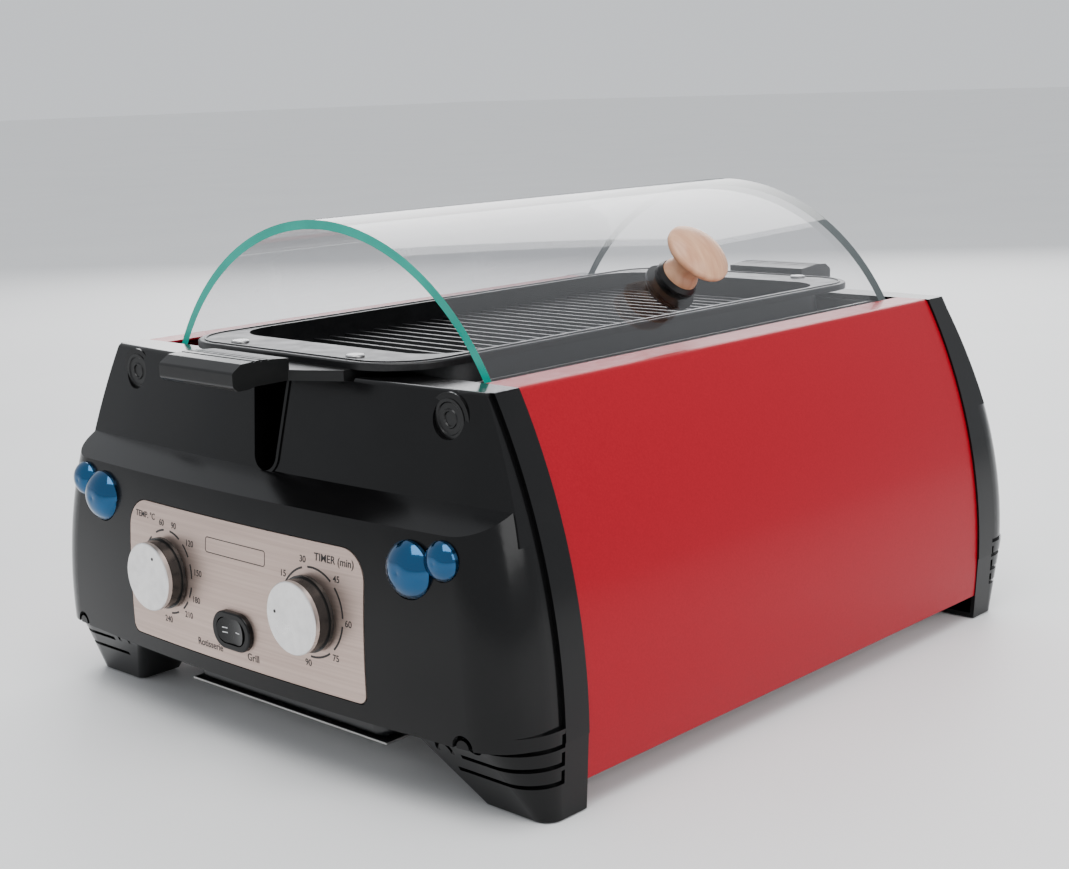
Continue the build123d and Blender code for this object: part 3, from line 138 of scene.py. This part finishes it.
def lid_glass():
    """Clear sheet glass that reflects at a slant; its front end is green glass made bright by a painted
    glow, its rear end is a painted dark shade.
    """
    made = Shader("lid_glass")
    edge_noise = made.noise(30.0)
    made.tint(edge_noise, (0.0, 0.13, 0.10), (0.0, 0.20, 0.155))
    # painted light: the front end glows green by emission, though it is no lamp; the green base colour
    # is the glass edge's own tint
    made.tint(edge_noise, (0.0, 0.30, 0.23), (0.0, 0.36, 0.28), "Emission Color")
    made.set(Emission_Strength=0.55, Roughness=0.2)
    clear = made.node("ShaderNodeBsdfTransparent")
    haze = made.node("ShaderNodeValToRGB")
    haze.color_ramp.elements[0].color = (0.90, 0.90, 0.91, 1.0)
    haze.color_ramp.elements[1].color = (0.95, 0.95, 0.955, 1.0)
    made.link(made.noise(5.0), haze.inputs["Fac"])
    made.link(haze.outputs["Color"], clear.inputs["Color"])
    gloss = made.node("ShaderNodeBsdfGlossy", {"Roughness": 0.04})
    slant = made.node("ShaderNodeLayerWeight", {"Blend": 0.5})
    steep = made.node("ShaderNodeMath", {1: 4.0}, operation="POWER")
    made.link(slant.outputs["Facing"], steep.inputs[0])
    share = made.node("ShaderNodeMapRange", {"To Min": 0.05, "To Max": 0.75})
    made.link(steep.outputs[0], share.inputs["Value"])
    body = made.node("ShaderNodeMixShader")
    made.link(share.outputs["Result"], body.inputs["Fac"])
    made.link(clear.outputs[0], body.inputs[1])
    made.link(gloss.outputs[0], body.inputs[2])
    low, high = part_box("glass_lid")
    where = made.node("ShaderNodeNewGeometry").outputs["Position"]
    parts = made.node("ShaderNodeSeparateXYZ")
    made.link(where, parts.inputs[0])
    surface_out = body.outputs[0]
    # painted shade: the rear cut end gets a flat dark diffuse colour in place of glass
    rear_end_painted_shade = made.node("ShaderNodeBsdfDiffuse", {"Color": (0.12, 0.15, 0.15, 1.0)})
    ends = (
        ("LESS_THAN", low.y + END_BAND, made.shader.outputs[0]),
        ("GREATER_THAN", high.y - END_BAND, rear_end_painted_shade.outputs[0]),
    )
    for operation, limit, shade in ends:
        test = made.node("ShaderNodeMath", {1: limit}, operation=operation)
        made.link(parts.outputs["Y"], test.inputs[0])
        blend = made.node("ShaderNodeMixShader")
        made.link(test.outputs[0], blend.inputs["Fac"])
        made.link(surface_out, blend.inputs[1])
        made.link(shade, blend.inputs[2])
        surface_out = blend.outputs[0]
    made.link(surface_out, made.output.inputs["Surface"])
    return made



def middle(node):
    """Middle of a node's box."""
    low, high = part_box(node)
    return (low + high) / 2


left_x = middle("temperature_knob_face").x
right_x = middle("timer_knob_face").x
dial_z = middle("timer_knob_face").z

black = surface(
    "black_gloss", (0.0022, 0.0022, 0.0024), (0.0038, 0.0037, 0.0038), (0.13, 0.2),
    grain=25.0, relief=0.03, Specular_IOR_Level=0.22,
)
paint = surface(
    "red_paint", (0.27, 0.0005, 0.008), (0.32, 0.0009, 0.011), (0.30, 0.36),
    metal=0.1, grain=900.0, relief=0.04, Specular_IOR_Level=0.12, Coat_Weight=0.12, Coat_Roughness=0.06,
)
champagne = surface(
    "champagne_metal", (0.50, 0.38, 0.33), (0.60, 0.47, 0.41), (0.34, 0.44),
    metal=0.8, grain=14.0, relief=0.03, stretch=(1.0, 1.0, 60.0),
)
rocker = surface(
    "rocker_black", (0.0035, 0.0035, 0.0035), (0.006, 0.006, 0.006), (0.26, 0.36),
    grain=120.0, Specular_IOR_Level=0.3,
)
smoked = surface(
    "knob_side", (0.035, 0.034, 0.033), (0.07, 0.068, 0.066), (0.16, 0.30), metal=0.8, grain=40.0,
)
lens = surface(
    "lens_blue", (0.0, 0.045, 0.12), (0.001, 0.08, 0.2), (0.08, 0.14),
    metal=0.9, grain=20.0, relief=0.01, Coat_Weight=0.5, Coat_Roughness=0.02,
)
wood = surface(
    "pale_wood", (0.46, 0.22, 0.12), (0.60, 0.34, 0.20), (0.38, 0.5),
    grain=60.0, relief=0.1, stretch=(1.0, 5.0, 1.0), Coat_Weight=0.15,
)
coating = surface(
    "grill_coating", (0.004, 0.004, 0.0045), (0.009, 0.009, 0.0095), (0.28, 0.42),
    grain=500.0, relief=0.15, Specular_IOR_Level=0.35,
)
enamel = surface(
    "tray_enamel", (0.008, 0.008, 0.009), (0.015, 0.015, 0.016), (0.10, 0.2), grain=80.0,
)
steel = surface(
    "bright_steel", (0.36, 0.355, 0.35), (0.48, 0.475, 0.47), (0.22, 0.36),
    metal=1.0, grain=20.0, relief=0.05, stretch=(1.0, 30.0, 1.0),
)
track = surface("track_plastic", (0.012, 0.012, 0.012), (0.02, 0.02, 0.02), (0.4, 0.5))
sheath = surface(
    "element_sheath", (0.12, 0.115, 0.11), (0.2, 0.19, 0.18), (0.3, 0.45), metal=0.9, grain=150.0,
)
nylon = surface("gear_nylon", (0.68, 0.66, 0.58), (0.76, 0.74, 0.66), (0.35, 0.45))
rubber = surface(
    "foot_rubber", (0.012, 0.012, 0.012), (0.02, 0.02, 0.02), (0.6, 0.75), grain=300.0, relief=0.2,
)
ceramic = surface("terminal_ceramic", (0.7, 0.68, 0.62), (0.8, 0.78, 0.72), (0.2, 0.3))
satin_look = ((0.72, 0.71, 0.70), (0.82, 0.81, 0.80), (0.26, 0.34))
satin_left = brushed_round("satin_left", *satin_look, left_x, dial_z)
satin_right = brushed_round("satin_right", *satin_look, right_x, dial_z)
ink = surface("print_ink", (0.012, 0.010, 0.010), (0.022, 0.018, 0.018), (0.5, 0.6), grain=400.0)
mark = surface("rocker_mark", (0.55, 0.55, 0.55), (0.66, 0.66, 0.66), (0.4, 0.5), grain=400.0)

by_slot = {
    "black_gloss": black,
    "red_paint": paint,
    "champagne_metal": champagne,
    "satin_metal": satin_left,
    "rocker_black": rocker,
    "lens_blue": lens,
    "lid_glass": lid_glass(),
    "pale_wood": wood,
    "grill_coating": coating,
    "tray_enamel": enamel,
    "bright_steel": steel,
    "track_plastic": track,
    "element_sheath": sheath,
    "gear_nylon": nylon,
    "foot_rubber": rubber,
    "terminal_ceramic": ceramic,
}
by_node = {
    "timer_knob_face": satin_right,
    "temperature_knob": smoked,
    "timer_knob": smoked,
    "base_pan": steel,
}
for part in frame["record"]["subparts"]:
    name = part["node"]
    shader = by_node.get(name, by_slot[part["material_slot"]])
    mesh = nodes[name].data
    mesh.materials.clear()
    mesh.materials.append(shader.material)

# ------------------------------------------------------------- prints on the control plate

PRINT_RISE = 0.08 * MM
PRINT_BOLDNESS = 0.07 * MM
DIGIT_SIZE = 4.9 * MM
TITLE_SIZE = 5.6 * MM
SCALE_RADIUS = 23.2 * MM
SCALE_WIDTH = 1.1 * MM
LABEL_RADIUS = 27.2 * MM
LONG_LABEL_SHIFT = 1.9 * MM  # how far each digit beyond two pushes a label off its dial
WORD_ROW_Z = 57.0 * MM
ARC_STEP = 5.0  # degrees
RAY_LEAD = 50.0 * MM


def on_surface(node, x, z):
    """Point and outward normal of a node's front at (x, z)."""
    low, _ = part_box(node)
    start = Vector((x, low.y - RAY_LEAD, z))
    _, point, normal, _ = nodes[node].ray_cast(start, Vector((0.0, 1.0, 0.0)))
    return point, normal


def piece_from(name, build, shader, body):
    """New mesh piece made by a bmesh function, riding a body."""
    mesh = bpy.data.meshes.new(name)
    work = bmesh.new()
    build(work)
    bmesh.ops.recalc_face_normals(work, faces=work.faces)
    work.to_mesh(mesh)
    work.free()
    made = bpy.data.objects.new(name, mesh)
    bpy.context.scene.collection.objects.link(made)
    mesh.materials.append(shader.material)
    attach(made, body)


def strip(work, node, inner, outer, rise):
    """Thin printed band between two rows of (x, z) points lying on a node's front."""
    rows = []
    for lift in (0.0, rise):
        for row in (inner, outer):
            made = []
            for x, z in row:
                point, normal = on_surface(node, x, z)
                made.append(work.verts.new(point + normal * lift))
            rows.append(made)
    order = (rows[0], rows[1], rows[3], rows[2])
    for a, b in zip(order, order[1:] + order[:1]):
        for i in range(len(a) - 1):
            work.faces.new((a[i], a[i + 1], b[i + 1], b[i]))
    for end in (0, -1):
        work.faces.new([row[end] for row in order])


def arc_points(x, z, radius, start, end):
    """Points of an arc, angles in degrees from the right, anticlockwise."""
    count = max(3, int(abs(end - start) / ARC_STEP))
    turns = [math.radians(start + (end - start) * i / count) for i in range(count + 1)]
    return [(x + radius * math.cos(turn), z + radius * math.sin(turn)) for turn in turns]


def print_arcs(name, x, z, radius, width, spans):
    """Printed arcs of one radius round a dial."""
    def build(work):
        for start, end in spans:
            inner = arc_points(x, z, radius - width / 2, start, end)
            outer = arc_points(x, z, radius + width / 2, start, end)
            strip(work, "control_plate", inner, outer, PRINT_RISE)
    piece_from(name, build, ink, "body")


def print_text(name, words, x, z, size):
    """Raised printed words lying on the control plate, centred on (x, z)."""
    curve = bpy.data.curves.new(name, "FONT")
    curve.body = words
    curve.size = size
    curve.align_x = "CENTER"
    curve.align_y = "CENTER"
    curve.extrude = PRINT_RISE / 2
    curve.offset = PRINT_BOLDNESS
    source = bpy.data.objects.new(name + "_source", curve)
    bpy.context.scene.collection.objects.link(source)
    bpy.context.view_layer.update()
    mesh = bpy.data.meshes.new_from_object(source)
    bpy.data.objects.remove(source)
    mesh.name = name
    mesh.materials.clear()
    mesh.materials.append(ink.material)
    made = bpy.data.objects.new(name, mesh)
    bpy.context.scene.collection.objects.link(made)
    point, normal = on_surface("control_plate", x, z)
    across = Vector((0.0, 0.0, 1.0)).cross(normal).normalized()
    up = normal.cross(across)
    turn = Matrix((across, up, normal)).transposed().to_4x4()
    made.matrix_world = Matrix.Translation(point + normal * PRINT_RISE / 2) @ turn
    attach(made, "body")


# Labels and scales round the dials, in degrees from the right, anticlockwise.
temperature_marks = {"60": 102, "90": 77, "120": 42, "150": 8, "180": -23, "210": -48, "240": -92}
timer_marks = {"15": 142, "30": 104, "45": 47, "60": -3, "75": -50, "90": -97}
temperature_dashes = (
    (118, 98), (84, 60), (50, 30), (20, 0), (-12, -28), (-36, -52), (-66, -84), (150, 132),
)
timer_dashes = ((148, 107), (97, 52), (42, 2), (-8, -45), (-55, -93))
dials = (("temperature", left_x, temperature_marks), ("timer", right_x, timer_marks))
for dial, x, marks in dials:
    for words, turn in marks.items():
        along = math.cos(math.radians(turn))
        reach = LABEL_RADIUS + LONG_LABEL_SHIFT * (len(words) - 2) * abs(along)
        at_z = dial_z + reach * math.sin(math.radians(turn))
        print_text(f"{dial}_label_{words}", words, x + reach * along, at_z, DIGIT_SIZE)
print_arcs("temperature_scale", left_x, dial_z, SCALE_RADIUS, SCALE_WIDTH, temperature_dashes)
print_arcs("timer_scale", right_x, dial_z, SCALE_RADIUS, SCALE_WIDTH, timer_dashes)
_, plate_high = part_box("control_plate")
title_z = plate_high.z - 7.5 * MM
print_text("temperature_title", "TEMP. °C", left_x - 22.0 * MM, title_z - 0.5 * MM, DIGIT_SIZE)
print_text("timer_title", "TIMER (min)", right_x + 16.5 * MM, title_z, TITLE_SIZE)
print_text("rotisserie_label", "Rotisserie", -24.0 * MM, WORD_ROW_Z, TITLE_SIZE)
print_text("grill_label", "Grill", 13.5 * MM, WORD_ROW_Z, TITLE_SIZE)


def blank_frame(work):
    """Empty printed outline between the dials."""
    half_x, half_z, corner, line = 25.5 * MM, 4.3 * MM, 1.8 * MM, 0.5 * MM
    centre_z = 112.6 * MM
    parts = 16  # each long side follows the rounded plate in this many pieces
    rows = []
    for inset in (0.0, line):
        row = []
        for quarter, (sx, sz) in enumerate(((1, 1), (-1, 1), (-1, -1), (1, -1))):
            cx, cz = sx * (half_x - corner), centre_z + sz * (half_z - corner)
            row += arc_points(cx, cz, corner - inset, 90 * quarter, 90 * quarter + 90)
            if sx == sz:
                step = sx * 2 * (half_x - corner) / parts
                row += [(cx - step * count, row[-1][1]) for count in range(1, parts)]
        row.append(row[0])
        rows.append(row)
    strip(work, "control_plate", rows[0], rows[1], PRINT_RISE)


piece_from("blank_outline", blank_frame, ink, "body")


def dot(node, x, z, radius):
    """Function that builds a small round mark on a node's front."""
    def build(work):
        ring = arc_points(x, z, radius, 0, 345)
        bands = []
        for lift in (0.0, PRINT_RISE):
            band = []
            for px, pz in ring:
                point, normal = on_surface(node, px, pz)
                band.append(work.verts.new(point + normal * lift))
            bands.append(band)
        for i in range(len(ring)):
            j = (i + 1) % len(ring)
            work.faces.new((bands[0][i], bands[0][j], bands[1][j], bands[1][i]))
        work.faces.new(bands[0])
        work.faces.new(bands[1])
    return build


DOT_REACH = 12.5 * MM
DOT_RADIUS = 0.9 * MM
dots = (
    ("temperature_knob_face", left_x, 62, "temperature_dial"),
    ("timer_knob_face", right_x, 172, "timer_dial"),
)
for node, x, turn, body in dots:
    at_x = x + DOT_REACH * math.cos(math.radians(turn))
    at_z = dial_z + DOT_REACH * math.sin(math.radians(turn))
    piece_from(node + "_dot", dot(node, at_x, at_z, DOT_RADIUS), ink, body)



def rocker_marks(work):
    """Two bars on the rocker's left half and one on its right."""
    half, line = 1.9 * MM, 0.55 * MM
    across, apart = 5.4 * MM, 1.3 * MM
    rocker_middle = middle("switch_rocker")
    for x, z in ((-across, apart), (-across, -apart), (across, 0.0)):
        xs = [rocker_middle.x + x + half * share for share in (-1.0, 0.0, 1.0)]
        low = [(at, rocker_middle.z + z - line / 2) for at in xs]
        high = [(at, rocker_middle.z + z + line / 2) for at in xs]
        strip(work, "switch_rocker", low, high, PRINT_RISE)


piece_from("rocker_marks", rocker_marks, mark, "rocker")

# -------------------------------------------------------------------- floor and light

FLOOR_REACH = 30.0  # metres from the middle to each side
floor_mesh = bpy.data.meshes.new("floor")
floor_work = bmesh.new()
floor_work.faces.new([
    floor_work.verts.new((sx * FLOOR_REACH, sy * FLOOR_REACH, 0.0))
    for sx, sy in ((-1, -1), (1, -1), (1, 1), (-1, 1))
])
floor_work.to_mesh(floor_mesh)
floor_work.free()
floor = bpy.data.objects.new("floor", floor_mesh)
bpy.context.scene.collection.objects.link(floor)
floor_shader = surface(
    "floor", (0.84, 0.84, 0.84), (0.87, 0.87, 0.865), (0.5, 0.6), grain=3.0, relief=0.0,
)
floor_mesh.materials.append(floor_shader.material)

world = bpy.data.worlds.new("studio")
world.use_nodes = True
background = world.node_tree.nodes["Background"]
background.inputs["Color"].default_value = (0.93, 0.96, 1.0, 1.0)
background.inputs["Strength"].default_value = 0.9
bpy.context.scene.world = world


def softbox(name, place, target, width, height, power):
    """Rectangular area light aimed at a point."""
    lamp = bpy.data.lights.new(name, "AREA")
    lamp.shape = "RECTANGLE"
    lamp.size = width
    lamp.size_y = height
    lamp.energy = power
    made = bpy.data.objects.new(name, lamp)
    made.location = place
    aim = Vector(target) - Vector(place)
    made.rotation_euler = aim.to_track_quat("-Z", "Y").to_euler()
    bpy.context.scene.collection.objects.link(made)


softbox("key", (0.4, -0.5, 1.7), (0.0, 0.0, 0.1), width=1.2, height=1.2, power=24.0)
softbox("side", (2.0, -0.1, 1.0), (0.1, 0.0, 0.1), width=1.4, height=1.0, power=18.0)
softbox("window", (-1.2, 1.6, 1.1), (0.0, 0.0, 0.2), width=2.2, height=1.4, power=40.0)

# ------------------------------------------------------------------------------ camera

CAMERA_PLACE = Vector((0.7124, -0.7728, 0.3476))
AZIMUTH, ELEVATION, ROLL = (math.radians(angle) for angle in (43.27, 11.54, -1.87))
SENSOR_WIDTH, FOCAL_LENGTH = 36.0, 57.55  # millimetres
camera_data = bpy.data.cameras.new("camera")
camera_data.sensor_fit = "HORIZONTAL"
camera_data.sensor_width = SENSOR_WIDTH
camera_data.lens = FOCAL_LENGTH
camera = bpy.data.objects.new("camera", camera_data)
back = Vector((
    math.sin(AZIMUTH) * math.cos(ELEVATION),
    -math.cos(AZIMUTH) * math.cos(ELEVATION),
    math.sin(ELEVATION),
))
right = Vector((math.cos(AZIMUTH), math.sin(AZIMUTH), 0.0))
up = back.cross(right)
turned_right = math.cos(ROLL) * right + math.sin(ROLL) * up
turned_up = math.cos(ROLL) * up - math.sin(ROLL) * right
turn = Matrix((turned_right, turned_up, back)).transposed().to_4x4()
camera.matrix_world = Matrix.Translation(CAMERA_PLACE) @ turn
bpy.context.scene.collection.objects.link(camera)
bpy.context.scene.camera = camera
